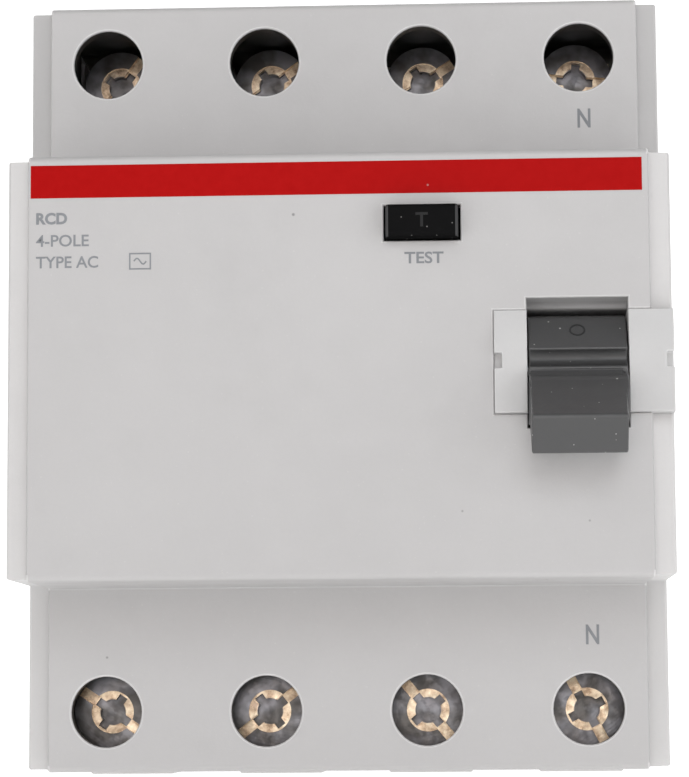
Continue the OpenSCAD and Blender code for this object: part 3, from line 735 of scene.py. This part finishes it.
# Coil radius and half thickness of the wire of the springs, and the gap they keep to their seats
CLIP_COIL = (1.42 * MM, 0.24 * MM)
BUTTON_COIL = (1.95 * MM, 0.21 * MM)
SEAT_GAP = 0.02 * MM


def add_springs():
    for side in ("left", "right"):
        node = "din_clip_spring_" + side
        lo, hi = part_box(node)
        middle = (lo + hi) / 2
        start = (middle.x, middle.y, lo.z + SEAT_GAP)
        radius, wire = CLIP_COIL
        piece = coil(node + "_fine", start, (0, 0, 1), radius, hi.z - lo.z - 2 * SEAT_GAP, wire)
        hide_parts(node)
        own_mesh(piece)
    lo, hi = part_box("test_button_spring")
    middle = (lo + hi) / 2
    start = (middle.x, hi.y - SEAT_GAP, middle.z)
    radius, wire = BUTTON_COIL
    piece = coil("test_button_spring_fine", start, (0, -1, 0), radius, hi.y - lo.y - 2 * SEAT_GAP, wire)
    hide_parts("test_button_spring")
    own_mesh(piece)


def add_leads():
    """Smooth-shaded copies of the flexible leads in their rest shape, in place of the CAD nodes."""
    for i in range(1, 5):
        node = nodes["flexible_lead_%d" % i]
        piece = bpy.data.objects.new(node.name + "_fine", node.data.copy())
        piece.matrix_world = node.matrix_world
        bpy.context.scene.collection.objects.link(piece)
        piece.data.shade_smooth()
        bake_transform(piece)
        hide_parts("flexible_lead_%d" % i)


# ---------------------------------------------------------------- camera, light and floor

CAMERA_AT = Vector((13.44, -353.07, -36.3)) * MM
CAMERA_AIM = Vector((0.67, -60.0, -2.63)) * MM
CAMERA_ROLL = math.radians(-0.385)
CAMERA_LENS = 131.1
SENSOR_WIDTH = 36.0
CLIP_START = 0.01

WHITE = (1.0, 1.0, 1.0)
FLOOR_GAP = 0.3 * MM
FLOOR = {"size": 6.0, "colour": (0.93, 0.93, 0.93), "glow": 0.47}
BACKDROP = {"size": 8.0, "colour": (0.95, 0.95, 0.95), "glow": 0.6}
BACKDROP_Y = 1.6
WORLD_STRENGTH = 0.325

# Name, place, aim, size, power and colour of each lamp
LAMPS = (
    ("key", (-0.4, -0.8, 0.75), (0, 0, 0), 0.7, 0.55, WHITE),
    ("side", (0.85, -0.6, 0.2), (0, 0, 0), 0.6, 1.0, (0.94, 0.96, 1.0)),
    ("low", (-0.05, -0.8, -0.02), (0, 0, -0.03), 0.4, 0.95, (1.0, 0.885, 0.85)),
    ("front", (0.1, -1.0, 0.4), (0, 0, 0), 0.5, 2.2, (0.95, 0.975, 1.0)),
    ("back", (0.2, 0.8, 0.8), (0, 0, 0), 0.8, 2.0, WHITE),
)


def add_camera():
    data = bpy.data.cameras.new("camera")
    data.lens = CAMERA_LENS
    data.sensor_width = SENSOR_WIDTH
    data.clip_start = CLIP_START
    camera = bpy.data.objects.new("camera", data)
    turn = (CAMERA_AIM - CAMERA_AT).to_track_quat("-Z", "Y").to_matrix().to_4x4()
    camera.matrix_world = Matrix.Translation(CAMERA_AT) @ turn @ Matrix.Rotation(CAMERA_ROLL, 4, "Z")
    bpy.context.scene.collection.objects.link(camera)
    bpy.context.scene.camera = camera


def add_lamp(name, place, aim, size, power, colour):
    data = bpy.data.lights.new(name, "AREA")
    data.shape = "DISK"
    data.size = size
    data.energy = power
    data.color = colour
    light = bpy.data.objects.new(name, data)
    light.location = place
    light.rotation_euler = (Vector(aim) - Vector(place)).to_track_quat("-Z", "Y").to_euler()
    bpy.context.scene.collection.objects.link(light)


def stage_plane(name, matrix, size, colour, glow):
    mesh = bpy.data.meshes.new(name)
    half = size / 2
    corners = [(-half, -half, 0), (half, -half, 0), (half, half, 0), (-half, half, 0)]
    mesh.from_pydata(corners, [], [(0, 1, 2, 3)])
    plane = bpy.data.objects.new(name, mesh)
    bpy.context.scene.collection.objects.link(plane)
    plane.matrix_world = matrix
    s = Shader(name)
    tone = s.blend(s.noise(3.0, 1.0), shade(colour, 0.99), rgb(*colour))
    s.finish(Base_Color=tone, Roughness=0.9, Emission_Color=rgb(*WHITE), Emission_Strength=glow)
    plane.data.materials.append(s.material)


def add_stage():
    # The floor lies below the clips at full travel
    floor_z = cad_lo.z - CLIP_TRAVEL - FLOOR_GAP
    stage_plane("floor", Matrix.Translation((0, 0, floor_z)), **FLOOR)
    wall = Matrix.Translation((0, BACKDROP_Y, 0)) @ Matrix.Rotation(math.pi / 2, 4, "X")
    stage_plane("backdrop", wall, **BACKDROP)
    world = bpy.data.worlds.new("studio")
    world.use_nodes = True
    background = world.node_tree.nodes["Background"]
    background.inputs["Color"].default_value = rgb(*WHITE)
    background.inputs["Strength"].default_value = WORLD_STRENGTH
    bpy.context.scene.world = world
    for lamp in LAMPS:
        add_lamp(*lamp)
    bpy.context.scene.view_settings.view_transform = "Standard"


dress_cad_nodes()
refine_nodes()
add_printing()
add_moulded_marks()
add_springs()
add_leads()
add_camera()
add_stage()
